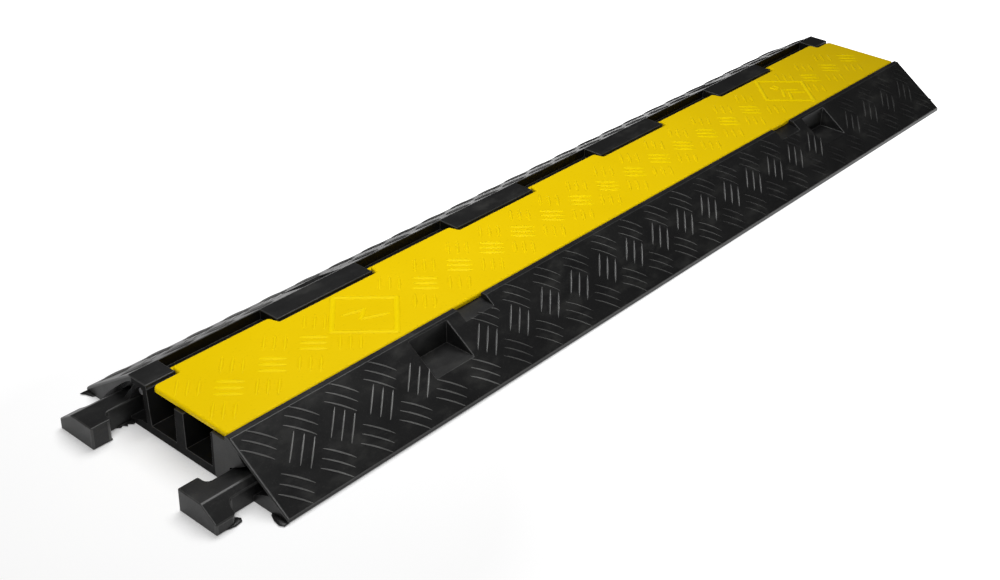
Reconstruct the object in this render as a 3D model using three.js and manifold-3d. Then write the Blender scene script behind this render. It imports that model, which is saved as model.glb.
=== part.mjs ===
// Two-channel cable protector ramp: a moulded rubber base with two cable channels,
// a hinged plastic lid over them, and the steel rod that the lid turns on.
// Millimetres, +Z up. X runs along the ramp, Y across it. The origin is on the
// underside, midway between the two end faces and midway across the width.
import * as THREE from 'three';
import { mergeVertices } from 'three/addons/utils/BufferGeometryUtils.js';
import Module from 'manifold-3d';

const wasm = await Module();
wasm.setup();

// ---- Driving dimensions ----

// Base section
const BODY_LENGTH = 1000;
const BODY_WIDTH = 232;
const BODY_HEIGHT = 43;
const TOP_WIDTH = 116;
const TOE_HEIGHT = 4;

// Cable channels: a floor, and three walls with a little draft
const CHANNEL_FLOOR = 8;
const NEAR_WALL = { top: -37, foot: -36.3 };
const DIVIDER = { nearTop: -6.2, nearFoot: -6.8, farTop: 3.8, farFoot: 4.4 };
const FAR_WALL = { top: 36.5, foot: 33.5 };

// Lid
const LID_LENGTH = 994;
const LID_NEAR_EDGE = -52.3;
const LID_FAR_EDGE = 33;
const LID_FINGER_EDGE = 43;
const LID_TOP = 43.3;
const LID_THICKNESS = 4.3;
const LID_CORNER = { near: 2.5, far: 5 };
const FIT_GAP = 0.3;

// Hinge
const HINGE = { y: 45.8, z: 32.5 };
const ROD_RADIUS = 3;
const ROD_END_INSET = 2;
const BARREL_RADIUS = 6;
const BARREL_CLEARANCE = 0.6;
const BLOCK_PITCH = 212.4;
const BLOCK_HALF_LENGTH = 53.1;
const END_BLOCK_START = 472.4;
const FINGER_SIDE_GAP = 0.8;
const FINGER_TAPER = 4;
const END_FINGER_TAPER = 0.5;
const POCKET_BACK = 57;
const POCKET_SHELF = 34;
const POCKET_ARC_STEPS = 10;

// T-shaped lugs at one end, sockets for them at the other
const LUG_CENTRE = 70;
const LUG_REACH = 41.5;
const LUG_HEAD = { length: 18.5, half: 20.5 };
const LUG_NECK_HALF = 10.7;
const LUG_TOP = 19;
const LUG_SHOULDER = 75;
const SOCKET_CLEARANCE = 1;

// Hollows in the end face at the lugs, as outlines in Y and Z. A thin rib parts the two on the hinge side
const HOLLOW_DEPTH = 12;
const NEAR_ROOT_HOLLOW = [
  [56, -5], [78, -5], [79.5, 4.5], [86.5, 9.5], [97, 14.4], [59, 39.9], [66.6, 34.5], [72.6, 26.6], [64, 21], [56, 17],
];
const FAR_ROOT_HOLLOW = [
  [62, -5], [95, -5], [94, 4.9], [87.7, 12.7], [72.7, 25.9], [61.8, 34.7], [56, 38.2], [50.5, 38], [59, 27.5], [65, 19.5],
];
const ROD_HOLLOW = [
  [39, 7], [46, 7.5], [54, 4.5], [60.5, 4.5], [60.5, 19], [55.8, 26.2], [47, 37.2], [44.5, 38.6], [41, 36.5],
];

// Anchor recesses in both slopes, finger notches in the near rim
const RECESS = { centre: 300, half: 22, backTop: 59.8, backFoot: 60.6, floor: 21 };
const NOTCH = { centre: 245.4, half: 17.2, floorEnd: 67.5 };

// Rounding of the cut circles
const BORE_SIDES = 24;
const CORNER_STEPS = 6;

// ---- Values worked out from the dimensions ----

const HALF_LENGTH = BODY_LENGTH / 2;
const HALF_WIDTH = BODY_WIDTH / 2;
const RIDGE = TOP_WIDTH / 2;
const SLOPE = (BODY_HEIGHT - TOE_HEIGHT) / (HALF_WIDTH - RIDGE);
const LEDGE = LID_TOP - LID_THICKNESS - FIT_GAP;
const BORE_RADIUS = ROD_RADIUS + FIT_GAP;
const OVERCUT = 5;
const SIDES = [-1, 1];

// ---- Solids ----

function toSolid(geometry) {
  const bare = geometry.clone();
  bare.deleteAttribute('normal');
  bare.deleteAttribute('uv');
  const welded = mergeVertices(bare, 1e-4);
  return new wasm.Manifold(new wasm.Mesh({
    numProp: 3,
    vertProperties: new Float32Array(welded.attributes.position.array),
    triVerts: new Uint32Array(welded.index.array),
  }));
}

function toGeometry(solid) {
  const mesh = solid.getMesh();
  const geometry = new THREE.BufferGeometry();
  geometry.setAttribute('position', new THREE.BufferAttribute(mesh.vertProperties, 3));
  geometry.setIndex(new THREE.BufferAttribute(mesh.triVerts, 1));
  return geometry;
}

function extrude(points, depth) {
  const shape = new THREE.Shape(points.map(([a, b]) => new THREE.Vector2(a, b)));
  return new THREE.ExtrudeGeometry(shape, { depth, bevelEnabled: false, curveSegments: 1 });
}

// A section drawn in Y and Z, carried along X from x0 to x1
function alongX(section, x0, x1) {
  const geometry = extrude(section, x1 - x0);
  const turn = new THREE.Matrix4().makeBasis(
    new THREE.Vector3(0, 1, 0), new THREE.Vector3(0, 0, 1), new THREE.Vector3(1, 0, 0));
  geometry.applyMatrix4(turn.setPosition(x0, 0, 0));
  return toSolid(geometry);
}

// An outline drawn in X and Y, carried up from z0 to z1
function upward(outline, z0, z1) {
  const geometry = extrude(outline, z1 - z0);
  geometry.translate(0, 0, z0);
  return toSolid(geometry);
}

function cylinderAlongX(radius, x0, x1) {
  const geometry = new THREE.CylinderGeometry(radius, radius, x1 - x0, BORE_SIDES);
  geometry.rotateZ(Math.PI / 2);
  geometry.translate((x0 + x1) / 2, HINGE.y, HINGE.z);
  return toSolid(geometry);
}

function arc(centre, radius, startDegrees, endDegrees, steps) {
  const points = [];
  for (let i = 0; i <= steps; i += 1) {
    const angle = THREE.MathUtils.degToRad(startDegrees + (endDegrees - startDegrees) * i / steps);
    points.push([centre[0] + radius * Math.cos(angle), centre[1] + radius * Math.sin(angle)]);
  }
  return points;
}

// A section drawn for the +Y side, or mirrored to the -Y side
function onSide(side, section) {
  const placed = section.map(([y, z]) => [side * y, z]);
  return side < 0 ? placed.reverse() : placed;
}

// ---- Hinge layout ----

// The lid's five fingers lie between the base's six hinge blocks
function fingerSpaces() {
  const centres = [-1.5, -0.5, 0.5, 1.5].map((step) => step * BLOCK_PITCH);
  const starts = [-END_BLOCK_START, ...centres.map((centre) => centre + BLOCK_HALF_LENGTH)];
  const ends = [...centres.map((centre) => centre - BLOCK_HALF_LENGTH), END_BLOCK_START];
  return starts.map((start, i) => ({ start, end: ends[i] }));
}

function pocketSection() {
  const radius = BARREL_RADIUS + BARREL_CLEARANCE;
  const shelfAngle = THREE.MathUtils.radToDeg(Math.asin((POCKET_SHELF - HINGE.z) / radius));
  return [
    [FAR_WALL.top - FIT_GAP, LEDGE],
    [HINGE.y - radius, LEDGE],
    ...arc([HINGE.y, HINGE.z], radius, -180, shelfAngle, POCKET_ARC_STEPS),
    [POCKET_BACK, POCKET_SHELF],
    [POCKET_BACK, BODY_HEIGHT + OVERCUT],
    [FAR_WALL.top - FIT_GAP, BODY_HEIGHT + OVERCUT],
  ];
}

// ---- Base ----

function bodyBlock() {
  return alongX([
    [-HALF_WIDTH, 0], [HALF_WIDTH, 0], [HALF_WIDTH, TOE_HEIGHT],
    [RIDGE, BODY_HEIGHT], [-RIDGE, BODY_HEIGHT], [-HALF_WIDTH, TOE_HEIGHT],
  ], -HALF_LENGTH, HALF_LENGTH);
}

function throughCut(section) {
  return alongX(section, -HALF_LENGTH - OVERCUT, HALF_LENGTH + OVERCUT);
}

function lidSeatCut() {
  const near = LID_NEAR_EDGE - FIT_GAP;
  const top = BODY_HEIGHT + OVERCUT;
  return throughCut([[near, LEDGE], [FAR_WALL.top, LEDGE], [FAR_WALL.top, top], [near, top]]);
}

function channelCuts() {
  const top = LEDGE + 1;
  const near = throughCut([
    [NEAR_WALL.foot, CHANNEL_FLOOR], [DIVIDER.nearFoot, CHANNEL_FLOOR],
    [DIVIDER.nearTop, top], [NEAR_WALL.top, top],
  ]);
  const far = throughCut([
    [DIVIDER.farFoot, CHANNEL_FLOOR], [FAR_WALL.foot, CHANNEL_FLOOR],
    [FAR_WALL.top, top], [DIVIDER.farTop, top],
  ]);
  return near.add(far);
}

function recessCut(side, end) {
  const outside = HALF_WIDTH + OVERCUT;
  const above = BODY_HEIGHT + OVERCUT;
  const section = [
    [RECESS.backFoot, RECESS.floor], [outside, RECESS.floor],
    [outside, above], [RECESS.backTop, above], [RECESS.backTop, RECESS.floor + 20],
  ];
  const centre = end * RECESS.centre;
  return alongX(onSide(side, section), centre - RECESS.half, centre + RECESS.half);
}

// A notch's floor falls from the lid's ledge to the slope
function notchCut(end) {
  const inside = LID_NEAR_EDGE - FIT_GAP + 1;
  const outside = -NOTCH.floorEnd;
  const foot = BODY_HEIGHT - SLOPE * (NOTCH.floorEnd - RIDGE);
  const above = BODY_HEIGHT + OVERCUT;
  const section = [[outside, foot], [inside, LEDGE], [inside, above], [outside, above]];
  const centre = end * NOTCH.centre;
  return alongX(section, centre - NOTCH.half, centre + NOTCH.half);
}

// Flat top inboard, then a flank parallel to the ramp's slope, then a short upright side
function lugSection(half, clearance, bottom) {
  const inner = LUG_CENTRE - half - clearance;
  const outer = LUG_CENTRE + half + clearance;
  const rise = clearance * Math.hypot(1, SLOPE);
  const flank = (y) => LUG_TOP + rise - SLOPE * (y - LUG_SHOULDER);
  const shoulder = LUG_SHOULDER + (rise - clearance) / SLOPE;
  return [
    [inner, bottom], [outer, bottom], [outer, flank(outer)],
    [shoulder, LUG_TOP + clearance], [inner, LUG_TOP + clearance],
  ];
}

function lug(side) {
  const tip = -HALF_LENGTH - LUG_REACH;
  const headBack = tip + LUG_HEAD.length;
  const root = -HALF_LENGTH + HOLLOW_DEPTH + 1;
  const head = alongX(onSide(side, lugSection(LUG_HEAD.half, 0, 0)), tip, headBack);
  return head.add(alongX(onSide(side, lugSection(LUG_NECK_HALF, 0, 0)), headBack - 1, root));
}

function socketCut(side) {
  const deep = HALF_LENGTH - LUG_REACH - SOCKET_CLEARANCE;
  const mouth = HALF_LENGTH - LUG_REACH + LUG_HEAD.length + SOCKET_CLEARANCE;
  const below = -OVERCUT;
  const headSection = lugSection(LUG_HEAD.half, SOCKET_CLEARANCE, below);
  const neckSection = lugSection(LUG_NECK_HALF, SOCKET_CLEARANCE, below);
  const head = alongX(onSide(side, headSection), deep, mouth);
  return head.add(alongX(onSide(side, neckSection), mouth - 1, HALF_LENGTH + OVERCUT));
}

function hollowCut(side, outline) {
  return alongX(onSide(side, outline), -HALF_LENGTH - OVERCUT, -HALF_LENGTH + HOLLOW_DEPTH);
}

function base() {
  let solid = bodyBlock().subtract(lidSeatCut()).subtract(channelCuts());
  for (const space of fingerSpaces()) {
    solid = solid.subtract(alongX(pocketSection(), space.start, space.end));
  }
  for (const side of SIDES) {
    for (const end of SIDES) {
      solid = solid.subtract(recessCut(side, end));
    }
    solid = solid.subtract(notchCut(side));
    solid = solid.subtract(socketCut(side));
  }
  solid = solid.subtract(hollowCut(-1, NEAR_ROOT_HOLLOW));
  solid = solid.subtract(hollowCut(1, FAR_ROOT_HOLLOW)).subtract(hollowCut(1, ROD_HOLLOW));
  solid = solid.add(lug(-1)).add(lug(1));
  return solid.subtract(cylinderAlongX(BORE_RADIUS, -HALF_LENGTH - OVERCUT, HALF_LENGTH + OVERCUT));
}

// ---- Lid ----

function lidPlate() {
  const end = LID_LENGTH / 2;
  const { near, far } = LID_CORNER;
  const corner = (x, y, radius, start) => arc([x, y], radius, start, start + 90, CORNER_STEPS);
  const outline = [
    ...corner(-end + near, LID_NEAR_EDGE + near, near, 180),
    ...corner(end - near, LID_NEAR_EDGE + near, near, 270),
    ...corner(end - far, LID_FAR_EDGE - far, far, 0),
    ...corner(-end + far, LID_FAR_EDGE - far, far, 90),
  ];
  return upward(outline, LID_TOP - LID_THICKNESS, LID_TOP);
}

// One finger: the plate carried back over the hinge, a web, and the barrel on the rod
function finger({ start, end }) {
  const x0 = start + FINGER_SIDE_GAP;
  const x1 = end - FINGER_SIDE_GAP;
  const taper0 = start < -END_BLOCK_START + 1 ? END_FINGER_TAPER : FINGER_TAPER;
  const taper1 = end > END_BLOCK_START - 1 ? END_FINGER_TAPER : FINGER_TAPER;
  const back0 = x0 + taper0;
  const back1 = x1 - taper1;
  const inside = LID_FAR_EDGE - 2;
  const tongue = upward([
    [x0, inside], [x1, inside], [x1, LID_FAR_EDGE],
    [back1, LID_FINGER_EDGE], [back0, LID_FINGER_EDGE], [x0, LID_FAR_EDGE],
  ], LID_TOP - LID_THICKNESS, LID_TOP);
  return tongue.add(alongX(webSection(), back0, back1)).add(cylinderAlongX(BARREL_RADIUS, back0, back1));
}

// The web joins the barrel to the finger's underside and meets the barrel's back at a tangent
function webSection() {
  const front = HINGE.y - BARREL_RADIUS;
  const plateFoot = LID_TOP - LID_THICKNESS;
  const corner = [LID_FINGER_EDGE - HINGE.y, plateFoot - HINGE.z];
  const cornerAngle = Math.atan2(corner[1], corner[0]);
  const tangent = cornerAngle - Math.acos(BARREL_RADIUS / Math.hypot(corner[0], corner[1]));
  return [
    [front, HINGE.z],
    [HINGE.y, HINGE.z],
    [HINGE.y + BARREL_RADIUS * Math.cos(tangent), HINGE.z + BARREL_RADIUS * Math.sin(tangent)],
    [LID_FINGER_EDGE, plateFoot],
    [LID_FINGER_EDGE, plateFoot + 1],
    [front, plateFoot + 1],
  ];
}

function lid() {
  let solid = lidPlate();
  for (const space of fingerSpaces()) {
    solid = solid.add(finger(space));
  }
  return solid.subtract(cylinderAlongX(BORE_RADIUS, -HALF_LENGTH, HALF_LENGTH));
}

// ---- Hinge rod ----

function hingeRod() {
  const end = HALF_LENGTH - ROD_END_INSET;
  return cylinderAlongX(ROD_RADIUS, -end, end);
}

// ---- Assembly ----

function part(name, solid, colour, roughness, metalness) {
  const material = new THREE.MeshStandardMaterial({ color: colour, roughness, metalness });
  const mesh = new THREE.Mesh(toGeometry(solid), material);
  mesh.name = name;
  return mesh;
}

const ramp = new THREE.Group();
ramp.name = 'cable_protector_ramp';
ramp.add(part('rubber_base', base(), 0x1d1d1c, 0.55, 0));
ramp.add(part('hinged_lid', lid(), 0xeccb00, 0.45, 0));
ramp.add(part('hinge_rod', hingeRod(), 0x9a9c9e, 0.35, 1));

export default ramp;
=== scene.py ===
# The looks of the cable protector ramp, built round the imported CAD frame.
# Lengths are in millimetres in this file and become metres when a mesh is made.
import math

import bmesh
import bpy
from mathutils import Matrix, Vector


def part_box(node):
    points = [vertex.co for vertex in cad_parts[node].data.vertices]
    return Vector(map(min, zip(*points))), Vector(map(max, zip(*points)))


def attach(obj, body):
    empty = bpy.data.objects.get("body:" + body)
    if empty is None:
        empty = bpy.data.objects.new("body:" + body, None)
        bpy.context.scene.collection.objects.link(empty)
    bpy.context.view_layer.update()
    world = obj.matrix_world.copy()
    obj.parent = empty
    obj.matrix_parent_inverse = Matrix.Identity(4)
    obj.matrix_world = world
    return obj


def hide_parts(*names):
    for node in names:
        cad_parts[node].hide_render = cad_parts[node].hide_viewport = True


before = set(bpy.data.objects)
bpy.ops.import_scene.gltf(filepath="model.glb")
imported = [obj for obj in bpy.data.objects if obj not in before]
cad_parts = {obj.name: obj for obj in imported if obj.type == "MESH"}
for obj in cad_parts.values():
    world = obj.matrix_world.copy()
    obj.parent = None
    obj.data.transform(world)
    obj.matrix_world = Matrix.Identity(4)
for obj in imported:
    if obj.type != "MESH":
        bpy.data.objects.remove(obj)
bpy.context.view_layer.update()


MM = 0.001

# ---- Sizes that the CAD frame gives ----


def node_box(node):
    low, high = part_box(node)
    return [v / MM for v in low], [v / MM for v in high]


BASE_LOW, BASE_HIGH = node_box("rubber_base")
LID_LOW, LID_HIGH = node_box("hinged_lid")
ROD_LOW, ROD_HIGH = node_box("hinge_rod")

HALF_LENGTH = BASE_HIGH[0]
HALF_WIDTH = BASE_HIGH[1]
BODY_TOP = BASE_HIGH[2]
LUG_TIP = BASE_LOW[0]
LID_END = LID_HIGH[0]
LID_NEAR = LID_LOW[1]
LID_TOP = LID_HIGH[2]
ROD_END = ROD_HIGH[0]
HINGE_Y = (ROD_LOW[1] + ROD_HIGH[1]) / 2
HINGE_Z = (ROD_LOW[2] + ROD_HIGH[2]) / 2
ROD_RADIUS = (ROD_HIGH[2] - ROD_LOW[2]) / 2

# ---- Sizes that repeat the CAD's ----

RIDGE = 58
TOE_HEIGHT = 4
RISE = BODY_TOP - TOE_HEIGHT
RUN = HALF_WIDTH - RIDGE
SLOPE_LENGTH = math.hypot(RISE, RUN)
PLATE_THICKNESS = 4.3
FINGER_ROOT = 33
FINGER_EDGE = 43
BARREL_RADIUS = 6
BORE_RADIUS = 3.3
BLOCK_PITCH = 212.4
BLOCK_HALF = 53.1
END_BLOCK_START = 472.4
FINGER_SIDE_GAP = 0.8
BLOCK_FRONT = 36.5


# ---- Materials ----

def new_material(name):
    material = bpy.data.materials.new(name)
    material.use_nodes = True
    tree = material.node_tree
    shader = tree.nodes["Principled BSDF"]
    coords = tree.nodes.new("ShaderNodeTexCoord")
    return material, tree, shader, coords.outputs["Object"]


def noise(tree, coords, scale, detail=3.0, roughness=0.5, stretch=None):
    if stretch:
        mapping = tree.nodes.new("ShaderNodeMapping")
        mapping.inputs["Scale"].default_value = stretch
        tree.links.new(coords, mapping.inputs["Vector"])
        coords = mapping.outputs["Vector"]
    node = tree.nodes.new("ShaderNodeTexNoise")
    node.inputs["Scale"].default_value = scale
    node.inputs["Detail"].default_value = detail
    node.inputs["Roughness"].default_value = roughness
    tree.links.new(coords, node.inputs["Vector"])
    return node.outputs["Fac"]


def to_range(tree, value, low, high, from_low=0.3, from_high=0.7):
    node = tree.nodes.new("ShaderNodeMapRange")
    numbers = {"From Min": from_low, "From Max": from_high, "To Min": low, "To Max": high}
    for socket, number in numbers.items():
        node.inputs[socket].default_value = number
    tree.links.new(value, node.inputs["Value"])
    return node.outputs["Result"]


def mix_colours(tree, factor, first, second):
    node = tree.nodes.new("ShaderNodeMix")
    node.data_type = "RGBA"
    tree.links.new(factor, node.inputs["Factor"])
    for socket, colour in ((node.inputs[6], first), (node.inputs[7], second)):
        if isinstance(colour, tuple):
            socket.default_value = (*colour, 1)
        else:
            tree.links.new(colour, socket)
    return node.outputs[2]


def bumps(tree, shader, *layers):
    """Each layer is (height, distance in mm, strength)."""
    normal = None
    for height, distance, strength in layers:
        node = tree.nodes.new("ShaderNodeBump")
        node.inputs["Strength"].default_value = strength
        node.inputs["Distance"].default_value = distance * MM
        tree.links.new(height, node.inputs["Height"])
        if normal:
            tree.links.new(normal, node.inputs["Normal"])
        normal = node.outputs["Normal"]
    tree.links.new(normal, shader.inputs["Normal"])


def rubber(name, dark, light, dusty, roughness, gloss):
    """Moulded rubber: cloudy black with dust in its grain and dull patches where it has been handled."""
    material, tree, shader, coords = new_material(name)
    cloud = noise(tree, coords, 22, 4)
    patch = noise(tree, coords, 60, 5, 0.62, stretch=(0.5, 1, 1))
    speck = noise(tree, coords, 700, 2)
    grain = noise(tree, coords, 1500, 3)
    wave = noise(tree, coords, 45, 2)
    dimple = noise(tree, coords, 190, 3)
    dust = to_range(tree, speck, 0, 0.35, 0.58, 0.75)
    body = mix_colours(tree, to_range(tree, cloud, 0, 1), dark, light)
    handled = mix_colours(tree, to_range(tree, patch, 0, 0.5, 0.52, 0.72), body, dusty)
    tree.links.new(mix_colours(tree, dust, handled, dusty), shader.inputs["Base Color"])
    tree.links.new(to_range(tree, patch, *roughness), shader.inputs["Roughness"])
    shader.inputs["Specular IOR Level"].default_value = gloss
    bumps(tree, shader, (wave, 0.4, 0.2), (dimple, 0.12, 0.3), (grain, 0.05, 0.3))
    return material


def yellow_plastic(name, deep, pale, roughness, gloss):
    """Moulded plastic: a fine grain, grime in specks and scuffs that change its sheen."""
    material, tree, shader, coords = new_material(name)
    cloud = noise(tree, coords, 14, 4)
    speck = noise(tree, coords, 420, 3)
    grain = noise(tree, coords, 1300, 2)
    wave = noise(tree, coords, 30, 2)
    scuff = noise(tree, coords, 50, 6, 0.65, stretch=(0.35, 1, 1))
    colour = mix_colours(tree, to_range(tree, cloud, 0, 1), deep, pale)
    grimy = mix_colours(tree, to_range(tree, speck, 0, 0.16, 0.6, 0.75), colour, (0.42, 0.27, 0.0))
    tree.links.new(grimy, shader.inputs["Base Color"])
    tree.links.new(to_range(tree, scuff, *roughness), shader.inputs["Roughness"])
    shader.inputs["Specular IOR Level"].default_value = gloss
    shader.inputs["Specular Tint"].default_value = (1.0, 0.8, 0.1, 1)
    bumps(tree, shader, (wave, 0.3, 0.15), (grain, 0.03, 0.3))
    return material


def rod_steel():
    """Steel with the fine lines of drawing along the rod."""
    material, tree, shader, coords = new_material("rod_steel")
    drawn = noise(tree, coords, 900, 3, stretch=(0.02, 1, 1))
    cloud = noise(tree, coords, 60, 4)
    colour = mix_colours(tree, to_range(tree, cloud, 0, 1), (0.48, 0.48, 0.49), (0.6, 0.6, 0.61))
    tree.links.new(colour, shader.inputs["Base Color"])
    tree.links.new(to_range(tree, drawn, 0.28, 0.45), shader.inputs["Roughness"])
    shader.inputs["Metallic"].default_value = 1
    bumps(tree, shader, (drawn, 0.02, 0.3))
    return material


# Where the floor glows least, in metres
GLOW_CENTRE = (-0.5, -0.05, 0)


def floor_paint():
    """White paint that glows as painted light: least near the ramp and more further out, like the lit sweep
    of a photo studio.
    """
    material, tree, shader, coords = new_material("pale_floor")
    cloud = noise(tree, coords, 3, 2)
    colour = mix_colours(tree, to_range(tree, cloud, 0, 1), (0.88, 0.88, 0.88), (0.9, 0.9, 0.9))
    tree.links.new(colour, shader.inputs["Base Color"])
    shader.inputs["Roughness"].default_value = 0.9
    shader.inputs["Specular IOR Level"].default_value = 0.1
    distance = tree.nodes.new("ShaderNodeVectorMath")
    distance.operation = "DISTANCE"
    distance.inputs[1].default_value = GLOW_CENTRE
    tree.links.new(coords, distance.inputs[0])
    # Painted light: the floor glows, weakest near the ramp and stronger further out.
    shader.inputs["Emission Color"].default_value = (1, 1, 1, 1)
    glow = to_range(tree, distance.outputs["Value"], 0.2, 1.2, from_low=0.2, from_high=1.0)
    tree.links.new(glow, shader.inputs["Emission Strength"])
    return material


RUBBER = rubber("black_rubber", (0.0075, 0.0075, 0.0078), (0.0115, 0.0115, 0.0115), (0.042, 0.042, 0.039),
                roughness=(0.31, 0.48), gloss=0.3)
# Lighter rubber for the base's rounded edges: a painted highlight along them.
EDGE_HIGHLIGHT_RUBBER = rubber("edge_highlight_rubber", (0.028, 0.028, 0.028), (0.042, 0.042, 0.041), (0.08, 0.08, 0.076),
                     roughness=(0.27, 0.4), gloss=0.4)
# Much lighter rubber for the crests of the slopes' bars: a painted highlight.
HIGHLIGHT_CREST_RUBBER = rubber("painted_highlight_crest_rubber", (0.09, 0.09, 0.088), (0.15, 0.15, 0.146), (0.22, 0.22, 0.212),
                      roughness=(0.28, 0.4), gloss=0.7)
# Darker, rougher rubber for the pockets, channels and the ends round them: a matt finish and painted shade.
MATT_SHADED_RUBBER = rubber("matt_shaded_rubber", (0.004, 0.004, 0.004), (0.006, 0.006, 0.006), (0.01, 0.01, 0.01),
                     roughness=(0.6, 0.8), gloss=0.12)
PLASTIC = yellow_plastic("yellow_plastic", (0.84, 0.585, 0.0), (0.87, 0.612, 0.001),
                         roughness=(0.36, 0.46), gloss=0.1)
# Lighter yellow for the crests of the lid's bars and sign shapes: a painted highlight.
HIGHLIGHT_PLASTIC = yellow_plastic("painted_highlight_plastic", (0.91, 0.67, 0.0), (0.94, 0.7, 0.001),
                              roughness=(0.34, 0.44), gloss=0.12)
STEEL = rod_steel()


# ---- Mesh helpers ----

def finished_object(name, bm, *materials, scale=MM):
    """Makes an object of a mesh, smooth apart from its marked sharp edges. The scale turns it into metres."""
    if scale != 1:
        bmesh.ops.scale(bm, vec=(scale, scale, scale), verts=bm.verts)
    mesh = bpy.data.meshes.new(name)
    bm.to_mesh(mesh)
    bm.free()
    piece = bpy.data.objects.new(name, mesh)
    bpy.context.scene.collection.objects.link(piece)
    for material in materials:
        mesh.materials.append(material)
    mesh.shade_smooth()
    return piece


def join_rings(bm, rings):
    """Faces between rings of vertices, one after another."""
    count = len(rings[0])
    for ring, following in zip(rings, rings[1:]):
        for i in range(count):
            j = (i + 1) % count
            bm.faces.new((ring[i], ring[j], following[j], following[i]))


def add_loops(bm, loops):
    """Joins loops of points, one after another, into a closed shell."""
    rings = [[bm.verts.new(p) for p in loop] for loop in loops]
    join_rings(bm, rings)
    bm.faces.new(rings[0][::-1])
    bm.faces.new(rings[-1])


def circle(middle, radius, sides):
    """Points of a circle about a middle, as pairs."""
    angles = [2 * math.pi * i / sides for i in range(sides)]
    return [(middle[0] + radius * math.cos(a), middle[1] + radius * math.sin(a)) for a in angles]


def smooth_normals(piece):
    weighted = piece.modifiers.new("normals", "WEIGHTED_NORMAL")
    weighted.keep_sharp = True


def plane_frame(origin, along, up):
    """The transform from a plane's own X, Y and height to the frame."""
    along, up, origin = Vector(along).normalized(), Vector(up).normalized(), Vector(origin)
    out = along.cross(up)
    return Matrix(((along.x, up.x, out.x, origin.x), (along.y, up.y, out.y, origin.y),
                   (along.z, up.z, out.z, origin.z), (0, 0, 0, 1)))


LID_PLANE = plane_frame((0, 0, LID_TOP), (1, 0, 0), (0, 1, 0))
NEAR_PLANE = plane_frame((0, -RIDGE, BODY_TOP), (1, 0, 0), (0, RUN, RISE))
FAR_PLANE = plane_frame((0, RIDGE, BODY_TOP), (-1, 0, 0), (0, -RUN, RISE))

# How far the rims of raised shapes lie below their plane
SUNK = 0.06


def mirrored(half):
    """A bar's whole section from half of it, as pairs of a place across it and a share of its height."""
    return [(-t, share) for t, share in reversed(half[1:])] + half


ROOF_BAR = mirrored([(0, 1), (0.14, 0.96), (0.32, 0.8), (0.62, 0.44), (0.86, 0.15), (1, 0.05), (1.25, 0)])
SOFT_BAR = mirrored([(0, 1), (0.22, 0.95), (0.45, 0.8), (0.68, 0.54), (0.88, 0.24), (1.05, 0.06), (1.3, 0)])


def raised_bar(bm, plane, centre, degrees, length, width, height, section=ROOF_BAR, steps=14,
               taper=(0.5, 0.85), crest=0.33, bow=0.0):
    """A low bar that meets its plane at a tangent and runs out to a point at both ends.

    The taper's two powers say how its width and its height fall off towards the ends. The crest is the share
    of its width that is given the mesh's second material, painted lighter as a highlight. The bow is how far
    its middle stands to its left."""
    angle = math.radians(degrees)
    along = Vector((math.cos(angle), math.sin(angle)))
    across = Vector((-along.y, along.x))
    rows = []
    for i in range(1, steps):
        u = -math.cos(math.pi * i / steps)
        narrowing, sinking = ((1 - u * u) ** power for power in taper)
        row = []
        for t, share in section:
            aside = t * width / 2 * narrowing + bow * (1 - u * u)
            flat = Vector(centre) + along * (u * length / 2) + across * aside
            lift = height * sinking * share - SUNK
            row.append(bm.verts.new(plane @ Vector((flat.x, flat.y, lift))))
        rows.append(row)
    tips = []
    for u in (-1, 1):
        flat = Vector(centre) + along * (u * length / 2)
        tips.append(bm.verts.new(plane @ Vector((flat.x, flat.y, -SUNK))))
    for row, following in zip(rows, rows[1:]):
        for j in range(len(section) - 1):
            face = bm.faces.new((row[j], following[j], following[j + 1], row[j + 1]))
            face.material_index = int(abs(section[j][0] + section[j + 1][0]) / 2 < crest)
    for j in range(len(section) - 1):
        bm.faces.new((tips[0], rows[0][j], rows[0][j + 1]))
        bm.faces.new((tips[1], rows[-1][j + 1], rows[-1][j]))
    rim = [tips[0]] + [row[-1] for row in rows] + [tips[1]] + [row[0] for row in reversed(rows)]
    bottom = bm.faces.new(rim)
    for edge in bottom.edges:
        edge.smooth = False


def three_bars(bm, plane, centre, degrees, length, pitch, width, height, section=ROOF_BAR, kept=(1, 1, 1),
               crest=0.33, bow=0.0):
    """Three bars side by side. Of each, the kept share of its length stays at its far end."""
    angle = math.radians(degrees)
    along = Vector((math.cos(angle), math.sin(angle)))
    across = Vector((-along.y, along.x))
    for i, share in zip((-1, 0, 1), kept):
        middle = Vector(centre) + across * (i * pitch) + along * (length * (1 - share) / 2)
        raised_bar(bm, plane, middle, degrees, length * share, width, height, section, crest=crest, bow=bow)


# ---- Base ----

CLOSE = 0.05
SHARP_EDGE = math.radians(25)
WIDEST_ROUNDING = 4.2
ROUNDING_STEPS = 3
LUG_HEAD_BACK = LUG_TIP + 18.5
RECESS_CENTRE = 300
RECESS_HALF = 22
HOLLOW_DEPTH = 12
NOTCH_CENTRE = 245.4
NOTCH_REACH = 20
SEAT = BODY_TOP - PLATE_THICKNESS
# The channels' part of the end faces in Y, which is painted darker as shade, and the pockets' part of the
# seat
MATT_SHADE_END = (-39, 54)
POCKETS = (38, 54)
POCKET_FRONT = 40
# The lugs' and hollows' part of the lug end's face, from the middle out
LUG_ROOTS = (38, 100)
# The material slot of the faces that are rougher and painted darker as shade
MATT_SHADE_SLOT = 2
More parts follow.
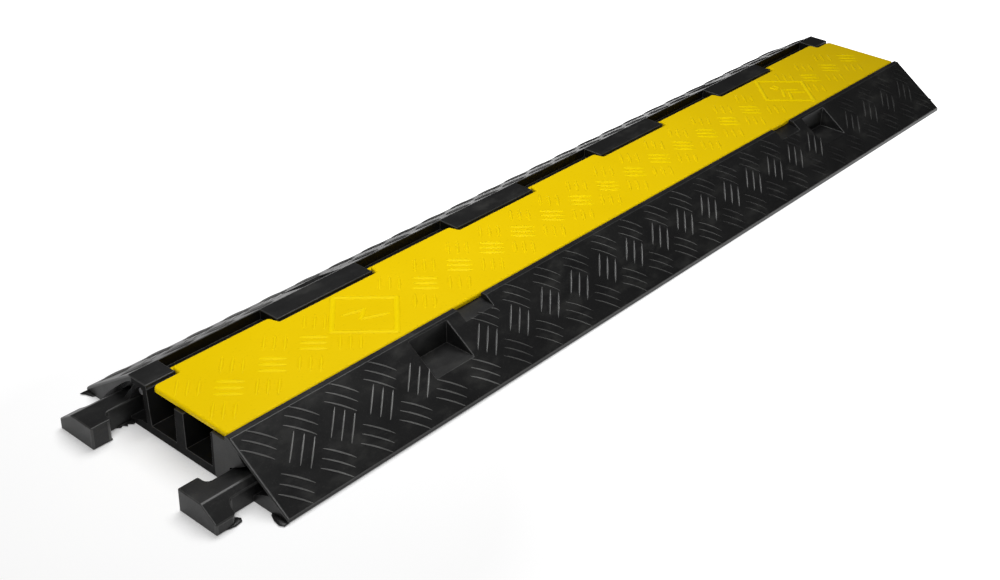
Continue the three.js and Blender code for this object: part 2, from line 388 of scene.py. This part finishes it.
# Radii that the base's edges are rounded to. Where cut shapes meet closely they are small, because a wide
# rounding would fold the faces over each other.
ROUNDINGS = {
    "lug_head_back": WIDEST_ROUNDING, "lug_upright": 1.8, "lug_top": 1.1, "lug_foot": 0.6, "lug_root": 0.1,
    "hollow_back": 0.12, "notch": 0.15, "pocket": 0.12, "near_ridge": 0.3, "far_ridge": 0.6,
    "slope_end": 2.0, "recess": 0.2, "lit_recess": 0.9, "toe": 1.2, "block": 0.9, "slope": 0.7,
    "foot": 0.5, "other": 0.4,
}


def edge_kind(edge):
    """The name in ROUNDINGS that says how a sharp edge of the base is rounded, or None for no rounding."""
    x, y, z = (edge.verts[0].co + edge.verts[1].co) / 2 / MM
    along = (edge.verts[1].co - edge.verts[0].co).normalized()
    on_foot = z < CLOSE
    on_top = abs(z - BODY_TOP) < CLOSE
    on_slope = abs(z - (BODY_TOP - (abs(y) - RIDGE) * RISE / RUN)) < CLOSE and abs(y) > RIDGE + 0.5
    on_lug_end = abs(x + HALF_LENGTH) < CLOSE
    if x < -HALF_LENGTH - 1:
        if on_foot:
            return "lug_foot"
        if abs(along.z) < 0.95:
            return "lug_top"
        return "lug_head_back" if abs(x - LUG_HEAD_BACK) < 0.1 else "lug_upright"
    if abs(x + HALF_LENGTH - HOLLOW_DEPTH) < CLOSE and abs(along.x) < CLOSE:
        return "hollow_back"
    if abs(z - SEAT) < CLOSE and y > 0:
        return None
    if z < SEAT + CLOSE and y < -RIDGE + 3 and abs(abs(x) - NOTCH_CENTRE) < NOTCH_REACH:
        return "notch"
    if z < BODY_TOP - 0.5 and POCKETS[0] < y < POCKETS[1]:
        return "pocket"
    in_roots = LUG_ROOTS[0] < abs(y) < LUG_ROOTS[1] and z < BODY_TOP - 1
    if on_lug_end and in_roots and not on_foot and not on_slope:
        return "lug_root"
    if on_top and abs(abs(y) - RIDGE) < CLOSE:
        return "near_ridge" if y < 0 else "far_ridge"
    if on_slope and abs(abs(x) - HALF_LENGTH) < CLOSE and abs(along.x) < 0.1:
        return "slope_end"
    if on_slope and abs(abs(x) - RECESS_CENTRE) < RECESS_HALF + 0.1:
        lit = min(abs(x - RECESS_HALF - RECESS_CENTRE), abs(x - RECESS_HALF + RECESS_CENTRE)) < 0.1
        return "lit_recess" if lit and y < 0 else "recess"
    if abs(z - TOE_HEIGHT) < CLOSE and abs(abs(y) - HALF_WIDTH) < CLOSE:
        return "toe"
    if on_top and BLOCK_FRONT - 0.5 < y < RIDGE - 2:
        return "block"
    if on_slope:
        return "slope"
    return "foot" if on_foot else "other"


def is_matt_and_shaded(face):
    """Whether a face gets the rough finish and a darker colour as painted shade: in the pockets, the channels
    and the ends round them.
    """
    x, y, z = face.calc_center_median() / MM
    if face.normal.z < -0.5 or abs(x) > HALF_LENGTH + 1:
        return False
    in_pocket = POCKET_FRONT < y < RIDGE and z < BODY_TOP - 0.5 and abs(x) < END_BLOCK_START + 1
    in_channel = MATT_SHADE_END[0] < y < FINGER_ROOT + 2 and z < SEAT - 0.5 and abs(x) < HALF_LENGTH - 20
    on_end = MATT_SHADE_END[0] < y < MATT_SHADE_END[1] and abs(abs(x) - HALF_LENGTH) < CLOSE
    return in_pocket or in_channel or on_end


def on_end_face(face):
    from_end = abs(abs(face.calc_center_median().x) - HALF_LENGTH * MM)
    return abs(face.normal.x) > 0.99 and from_end < MM


def base_skin():
    """A copy of the base's CAD mesh in clean faces, with its sharp edges rounded and the roundings painted
    lighter as highlights.
    """
    bm = bmesh.new()
    bm.from_mesh(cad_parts["rubber_base"].data)
    bmesh.ops.remove_doubles(bm, verts=bm.verts, dist=2e-5)
    bmesh.ops.dissolve_limit(bm, angle_limit=math.radians(0.5), verts=bm.verts, edges=bm.edges)
    # The end faces are cut where their painted shade begins and ends.
    for y in MATT_SHADE_END:
        ends = [f for f in bm.faces if on_end_face(f)]
        edges = list(dict.fromkeys(e for f in ends for e in f.edges))
        corners = list(dict.fromkeys(v for f in ends for v in f.verts))
        bmesh.ops.bisect_plane(bm, geom=ends + edges + corners, plane_co=(0, y * MM, 0), plane_no=(0, 1, 0))
    weights = bm.edges.layers.float.new("bevel_weight_edge")
    for edge in bm.edges:
        if len(edge.link_faces) == 2 and edge.calc_face_angle() > SHARP_EDGE:
            edge[weights] = ROUNDINGS.get(edge_kind(edge), 0) / WIDEST_ROUNDING
    # Faces in the pockets, channels and the end faces round them get the matt material, which is painted
    # darker as shade.
    for face in bm.faces:
        face.material_index = MATT_SHADE_SLOT if is_matt_and_shaded(face) else 0
    piece = finished_object("base_moulding", bm, RUBBER, EDGE_HIGHLIGHT_RUBBER, MATT_SHADED_RUBBER, scale=1)
    bevel = piece.modifiers.new("rounding", "BEVEL")
    bevel.limit_method = "WEIGHT"
    bevel.width = WIDEST_ROUNDING * MM
    bevel.segments = ROUNDING_STEPS
    bevel.use_clamp_overlap = False
    bevel.miter_outer = "MITER_ARC"
    bevel.harden_normals = False
    # The roundings get the lighter rubber, a painted highlight along the edges.
    bevel.material = 1
    smooth_normals(piece)
    return piece


TREAD = {"pitch": 40.2, "length": 27.0, "spacing": 8.1, "width": 2.1, "height": 1.0, "bow": 0.7}
# Each row's distance down the slope and its cells' shift along the ramp
ROWS = {"top": (13.9, -1.0), "middle": (32.9, 5.2), "bottom": (54.9, 3.0)}
# Cells left out for the anchor recesses, and those cut short by the notches, counted from the ramp's middle
RECESS_CELLS = (7, 8)
MIDDLE_RECESS_CELL = 7
NOTCH_CELL = 6
LAST_CELL = 12


def crest_highlight_share(x, fade_from):
    """The share of a bar's width that is painted lighter as a highlight: widest at the lug end, and thinning
    out from the second argument's place on.
    """
    if x < -280:
        return 0.5
    if x < fade_from:
        return 0.33
    return 0.1 if x < fade_from + 170 else 0


def slope_tread(name, plane, near):
    """Three rows of three-bar cells down a slope. The far slope's own X runs the other way along the ramp."""
    bm = bmesh.new()
    pitch, turn = TREAD["pitch"], 1 if near else -1
    size = (TREAD["length"], TREAD["spacing"], TREAD["width"], TREAD["height"])
    bow = turn * TREAD["bow"]
    (top, top_shift), (middle, middle_shift), (bottom, bottom_shift) = ROWS.values()
    for k in range(-LAST_CELL, LAST_CELL + 1):
        # The share of each bar's crest that is painted lighter as a highlight
        highlight_share = crest_highlight_share(turn * k * pitch, 60)
        if abs(k) not in RECESS_CELLS:
            kept = (1, 0.75, 0.3) if near and abs(k) == NOTCH_CELL else (1, 1, 0.92)
            place = (k * pitch + turn * top_shift, -top)
            three_bars(bm, plane, place, -45, *size, kept=kept, crest=highlight_share, bow=bow)
        place = (k * pitch + turn * bottom_shift, -bottom)
        three_bars(bm, plane, place, -45, *size, crest=highlight_share, bow=bow)
    for k in range(LAST_CELL):
        for side in (-1, 1):
            if k != MIDDLE_RECESS_CELL:
                x = side * (k + 0.5) * pitch + turn * middle_shift
                three_bars(bm, plane, (x, -middle), 45, *size, crest=crest_highlight_share(turn * x, 300))
    bmesh.ops.recalc_face_normals(bm, faces=bm.faces)
    return finished_object(name, bm, RUBBER, HIGHLIGHT_CREST_RUBBER)


# Thin flash left by the mould at the foot of the base, as outlines in X and Y
FLASH = (
    ((-535, -90), (-531, -91.2), (-526, -92.2), (-519.5, -91.2), (-517.8, -88), (-520, -84.5), (-524, -83.5),
     (-527, -88)),
    ((-499, -99), (-502, -101), (-504.6, -107), (-505.6, -113), (-503.6, -116.6), (-499, -116.4)),
    ((-499, 104), (-502, 106.5), (-504, 112.5), (-506.3, 116.3), (-502, 116.4), (-499, 116)),
    ((-515, 60), (-511.5, 57.4), (-509, 58.7), (-506.4, 55.2), (-504.8, 57.6), (-501.6, 54.2), (-499, 55),
     (-499, 60)),
)
# The flash's section: each height's outline is drawn in by a share of the way to the middle
FLASH_PROFILE = ((0.5, 0.1), (0.1, 0.25), (0, 0.5), (0.25, 0.9), (0.7, 1.15))
FLASH_DRAW = 1 / 6


def make_flash():
    bm = bmesh.new()
    for outline in FLASH:
        points = [Vector(p) for p in outline]
        middle = sum(points, Vector((0, 0))) / len(points)
        if (points[1] - points[0]).cross(middle - points[0]) < 0:
            points.reverse()
        loops = [[(*p.lerp(middle, draw * FLASH_DRAW), z) for p in points] for draw, z in FLASH_PROFILE]
        add_loops(bm, loops)
    bmesh.ops.recalc_face_normals(bm, faces=bm.faces)
    flash = finished_object("mould_flash", bm, RUBBER)
    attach(flash, "base")


def make_base():
    skin = base_skin()
    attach(skin, "base")
    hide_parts("rubber_base")
    for name, plane, near in (("near_slope_tread", NEAR_PLANE, True), ("far_slope_tread", FAR_PLANE, False)):
        tread = slope_tread(name, plane, near)
        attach(tread, "base")


# ---- Lid ----

END_FINGER_TAPER = 0.5
FINGER_TAPER = 3.0
BARREL_INSET = 1.2
WEB_EDGE = FINGER_EDGE - 0.2
BORE_SIDES = 24
BARREL_STEPS = 22


def rounded_outline(corners, steps=6):
    """Corners are (x, y, radius), anticlockwise. Gives the outline with its corners rounded."""
    points = []
    count = len(corners)
    for i, (x, y, radius) in enumerate(corners):
        here = Vector((x, y))
        before = (Vector(corners[i - 1][:2]) - here).normalized()
        after = (Vector(corners[(i + 1) % count][:2]) - here).normalized()
        half = before.angle(after) / 2
        reach = radius / math.tan(half)
        middle = here + (before + after).normalized() * (radius / math.sin(half))
        first, last = here + before * reach, here + after * reach
        start = math.atan2(*(first - middle).yx)
        turn = math.atan2(*(last - middle).yx) - start
        turn = (turn + math.pi) % (2 * math.pi) - math.pi
        for j in range(steps + 1):
            angle = start + turn * j / steps
            points.append(middle + Vector((math.cos(angle), math.sin(angle))) * radius)
    return points


def inset(points, distance):
    """Moves an anticlockwise outline inwards."""
    moved = []
    count = len(points)
    for i, point in enumerate(points):
        back = (point - points[i - 1]).normalized()
        ahead = (points[(i + 1) % count] - point).normalized()
        normal_back = Vector((-back.y, back.x))
        normal_ahead = Vector((-ahead.y, ahead.x))
        normal = (normal_back + normal_ahead).normalized()
        moved.append(point + normal * (distance / max(normal.dot(normal_back), 0.5)))
    return moved


def finger_spans():
    """Each finger's two ends at its root and at its edge: (root start, root end, edge start, edge end)."""
    centres = [step * BLOCK_PITCH for step in (-1.5, -0.5, 0.5, 1.5)]
    starts = [-END_BLOCK_START] + [c + BLOCK_HALF for c in centres]
    ends = [c - BLOCK_HALF for c in centres] + [END_BLOCK_START]
    spans = []
    for i, (start, end) in enumerate(zip(starts, ends)):
        low, high = start + FINGER_SIDE_GAP, end - FINGER_SIDE_GAP
        taper_low = END_FINGER_TAPER if i == 0 else FINGER_TAPER
        taper_high = END_FINGER_TAPER if i == len(starts) - 1 else FINGER_TAPER
        spans.append((low, high, low + taper_low, high - taper_high))
    return spans


def lid_plate(bm):
    corners = [(-LID_END, LID_NEAR, 2.5), (LID_END, LID_NEAR, 2.5), (LID_END, FINGER_ROOT, 5)]
    for low, high, edge_low, edge_high in reversed(finger_spans()):
        corners += [(high, FINGER_ROOT, 1.2), (edge_high, FINGER_EDGE, 3.5), (edge_low, FINGER_EDGE, 3.5),
                    (low, FINGER_ROOT, 1.2)]
    corners.append((-LID_END, FINGER_ROOT, 5))
    outline = rounded_outline(corners)
    foot = LID_TOP - PLATE_THICKNESS
    profile = [(0.35, foot), (0, foot + 0.35), (0, LID_TOP - 1.8), (0.14, LID_TOP - 1.1),
               (0.53, LID_TOP - 0.53), (1.1, LID_TOP - 0.14), (1.8, LID_TOP)]
    add_loops(bm, [[(p.x, p.y, z) for p in inset(outline, d)] for d, z in profile])


def barrel_section():
    """The web and barrel in Y and Z, anticlockwise, with the rod's bore left for later."""
    front = HINGE_Y - BARREL_RADIUS
    foot = LID_TOP - PLATE_THICKNESS
    corner = Vector((WEB_EDGE - HINGE_Y, foot - HINGE_Z))
    tangent = math.atan2(corner.y, corner.x) - math.acos(BARREL_RADIUS / corner.length)
    points = [(front, foot + 0.5)]
    sweep = (tangent - math.pi) % (2 * math.pi)
    for i in range(BARREL_STEPS + 1):
        angle = math.pi + sweep * i / BARREL_STEPS
        points.append((HINGE_Y + BARREL_RADIUS * math.cos(angle), HINGE_Z + BARREL_RADIUS * math.sin(angle)))
    points.append((WEB_EDGE, foot))
    points.append((WEB_EDGE, foot + 0.5))
    return points


def barrel(bm, start, end):
    """One finger's web and barrel, with rounded end edges and the bore in its end faces."""
    section = [Vector(p) for p in barrel_section()]
    stations = [(start, 0.5), (start + 0.15, 0.15), (start + 0.5, 0),
                (end - 0.5, 0), (end - 0.15, 0.15), (end, 0.5)]
    rings = [[bm.verts.new((x, *p)) for p in inset(section, draw)] for x, draw in stations]
    join_rings(bm, rings)
    bore = circle((HINGE_Y, HINGE_Z), BORE_RADIUS, BORE_SIDES)
    bores = [[bm.verts.new((x, *p)) for p in bore] for x in (start, end)]
    join_rings(bm, bores)
    for ends in ((rings[0], bores[0]), (rings[-1], bores[1])):
        edges = [bm.edges.get(pair) for loop in ends for pair in zip(loop, loop[1:] + loop[:1])]
        bmesh.ops.triangle_fill(bm, use_beauty=True, use_dissolve=False, edges=edges)


LID_TREAD = {"shift": 3.5, "pitch": 42.1, "length": 23.0, "spacing": 8.1,
             "middle_width": 4.6, "outer_width": 3.6, "height": 0.75}
LID_ROWS = {"top": 11.8, "middle": -9.6, "bottom": -29.0}
# Cells left out for the signs, counted from the lid's middle
SIGN_CELLS = (7, 8)
OUTER_SIGN_CELL = 7
SIGN = {"x": (-319.0, 328.0), "y": -8.5, "half_side": 28.2, "bar": 4.4, "height": 0.8}


def lid_tread(bm):
    shift, pitch, length, spacing, middle_width, outer_width, height = LID_TREAD.values()
    for k in range(-LAST_CELL + 1, LAST_CELL):
        if abs(k) not in SIGN_CELLS:
            place = (k * pitch + shift, LID_ROWS["middle"])
            three_bars(bm, LID_PLANE, place, -45, length, spacing, middle_width, height, SOFT_BAR, crest=0.8)
    for k in range(LAST_CELL):
        for side in (-1, 1):
            x = side * (k + 0.5) * pitch + shift
            if k != OUTER_SIGN_CELL and x < LID_END - 20:
                for row in ("top", "bottom"):
                    three_bars(bm, LID_PLANE, (x, LID_ROWS[row]), 45, length, spacing, outer_width, height,
                               SOFT_BAR, crest=0.3)


def sign_ring(centre, half_side, radius, height):
    """A square with rounded corners, turned by 45 degrees about its centre."""
    points = []
    steps = 6
    turn = Matrix.Rotation(math.radians(45), 2)
    middle = Vector((half_side - radius, half_side - radius))
    for quarter in range(4):
        for i in range(steps + 1):
            angle = math.radians(90 * i / steps)
            corner = middle + Vector((math.cos(angle), math.sin(angle))) * radius
            corner = Matrix.Rotation(math.radians(90 * quarter), 2) @ corner
            flat = turn @ corner
            points.append((centre[0] + flat.x, centre[1] + flat.y, LID_TOP + height))
    return points


def sign_frame(bm, centre):
    """A raised frame round a sign, its crest painted lighter yellow as a highlight."""
    outer, bar, height = SIGN["half_side"], SIGN["bar"], SIGN["height"]
    profile = []
    for t, share in SOFT_BAR[::-1]:
        profile.append((-bar / 2 + t * bar / 2, share * height if share else -SUNK))
    loops = [sign_ring(centre, outer + offset, 2.0 + max(offset, -1.2), lift) for offset, lift in profile]
    rings = [[bm.verts.new(p) for p in loop] for loop in loops]
    count = len(rings[0])
    for ring, following, (offset, _) in zip(rings, rings[1:] + rings[:1], profile):
        for i in range(count):
            j = (i + 1) % count
            face = bm.faces.new((ring[i], ring[j], following[j], following[i]))
            face.material_index = int(-bar < offset < 0 and ring is not rings[-1])


def stroke(bm, start, end, width=4.2, height=0.85):
    """One raised stroke of a sign."""
    first, last = Vector(start), Vector(end)
    reach = last - first
    degrees = math.degrees(math.atan2(reach.y, reach.x))
    raised_bar(bm, LID_PLANE, (first + last) / 2, degrees, reach.length + width, width, height, SOFT_BAR,
               taper=(0.3, 0.3), crest=0.8)


def zigzag_sign(bm, centre):
    """A plain zig-zag of three strokes."""
    places = [(-13, 11), (5, 6), (-7, -3), (14, -12)]
    points = [Vector(centre) + Vector(p) for p in places]
    for first, last in zip(points, points[1:]):
        stroke(bm, first, last)


def chevron_sign(bm, centre):
    """A plain ring and two chevrons."""
    middle = Vector(centre)
    ring = middle + Vector((-1, 12))
    points = [Vector(p) for p in circle(ring, 4.2, 10)]
    for first, last in zip(points, points[1:] + points[:1]):
        stroke(bm, first, last, width=2.6)
    for drop in (0, -9):
        stroke(bm, middle + Vector((-13, drop - 8)), middle + Vector((0, drop + 3)))
        stroke(bm, middle + Vector((0, drop + 3)), middle + Vector((13, drop - 8)))


def make_lid():
    bm = bmesh.new()
    lid_plate(bm)
    for _, _, edge_low, edge_high in finger_spans():
        barrel(bm, edge_low + BARREL_INSET, edge_high - BARREL_INSET)
    bmesh.ops.recalc_face_normals(bm, faces=bm.faces)
    plate = finished_object("lid_moulding", bm, PLASTIC)
    smooth_normals(plate)
    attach(plate, "lid")
    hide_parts("hinged_lid")

    bm = bmesh.new()
    lid_tread(bm)
    for x, glyph in zip(SIGN["x"], (zigzag_sign, chevron_sign)):
        sign_frame(bm, (x, SIGN["y"]))
        glyph(bm, (x, SIGN["y"]))
    bmesh.ops.recalc_face_normals(bm, faces=bm.faces)
    tread = finished_object("lid_tread", bm, PLASTIC, HIGHLIGHT_PLASTIC)
    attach(tread, "lid")


# ---- Hinge rod ----

def make_rod():
    bm = bmesh.new()
    tip = [(ROD_END - 0.5, ROD_RADIUS), (ROD_END - 0.12, ROD_RADIUS - 0.2), (ROD_END, ROD_RADIUS - 0.5)]
    profile = [(-x, radius) for x, radius in reversed(tip)] + tip
    add_loops(bm, [[(x, *p) for p in circle((HINGE_Y, HINGE_Z), radius, 40)] for x, radius in profile])
    bmesh.ops.recalc_face_normals(bm, faces=bm.faces)
    rod = finished_object("hinge_rod_bar", bm, STEEL)
    smooth_normals(rod)
    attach(rod, "base")
    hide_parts("hinge_rod")


# ---- Stage, lights and camera ----

# The floor lies just below the ramp's foot
FLOOR_DEPTH = -0.5
WORLD_LIGHT = 0.06
SENSOR_WIDTH = 36


def make_floor():
    bm = bmesh.new()
    bmesh.ops.create_grid(bm, x_segments=4, y_segments=4, size=30000)
    for vert in bm.verts:
        vert.co.z = FLOOR_DEPTH
    finished_object("floor", bm, floor_paint())


def area_light(name, place, aim, size, power):
    data = bpy.data.lights.new(name, "AREA")
    data.shape = "RECTANGLE"
    data.size, data.size_y = size
    data.energy = power
    light = bpy.data.objects.new(name, data)
    light.location = place
    light.rotation_euler = (Vector(aim) - Vector(place)).to_track_quat("-Z", "Y").to_euler()
    bpy.context.scene.collection.objects.link(light)


def make_lights():
    area_light("key_overhead", (-0.1, 0.15, 0.95), (-0.12, 0, 0), (0.8, 0.6), 7.6)
    area_light("key_front", (-1.25, -0.55, 1.45), (-0.3, 0, 0), (0.6, 0.5), 10.5)
    world = bpy.data.worlds.new("studio")
    world.use_nodes = True
    background = world.node_tree.nodes["Background"]
    background.inputs["Color"].default_value = (1, 1, 1, 1)
    background.inputs["Strength"].default_value = WORLD_LIGHT
    bpy.context.scene.world = world
    bpy.context.scene.view_settings.view_transform = "Standard"


CAMERA = {"place": (-0.996802, -0.707763, 0.650384), "azimuth": -50.453, "elevation": 30.896, "roll": 2.354,
          "lens": 51.309}


def make_camera():
    azimuth, elevation, roll = (math.radians(CAMERA[k]) for k in ("azimuth", "elevation", "roll"))
    back = Vector((math.sin(azimuth) * math.cos(elevation), -math.cos(azimuth) * math.cos(elevation),
                   math.sin(elevation)))
    level = (-back).cross(Vector((0, 0, 1))).normalized()
    upright = level.cross(-back)
    right = level * math.cos(roll) + upright * math.sin(roll)
    up = upright * math.cos(roll) - level * math.sin(roll)
    data = bpy.data.cameras.new("camera")
    data.sensor_width = SENSOR_WIDTH
    data.lens = CAMERA["lens"]
    data.clip_start = 0.01
    data.clip_end = 60
    camera = bpy.data.objects.new("camera", data)
    turn = Matrix((right, up, back)).transposed().to_4x4()
    camera.matrix_world = Matrix.Translation(CAMERA["place"]) @ turn
    bpy.context.scene.collection.objects.link(camera)
    bpy.context.scene.camera = camera


make_camera()
make_base()
make_flash()
make_lid()
make_rod()
make_floor()
make_lights()
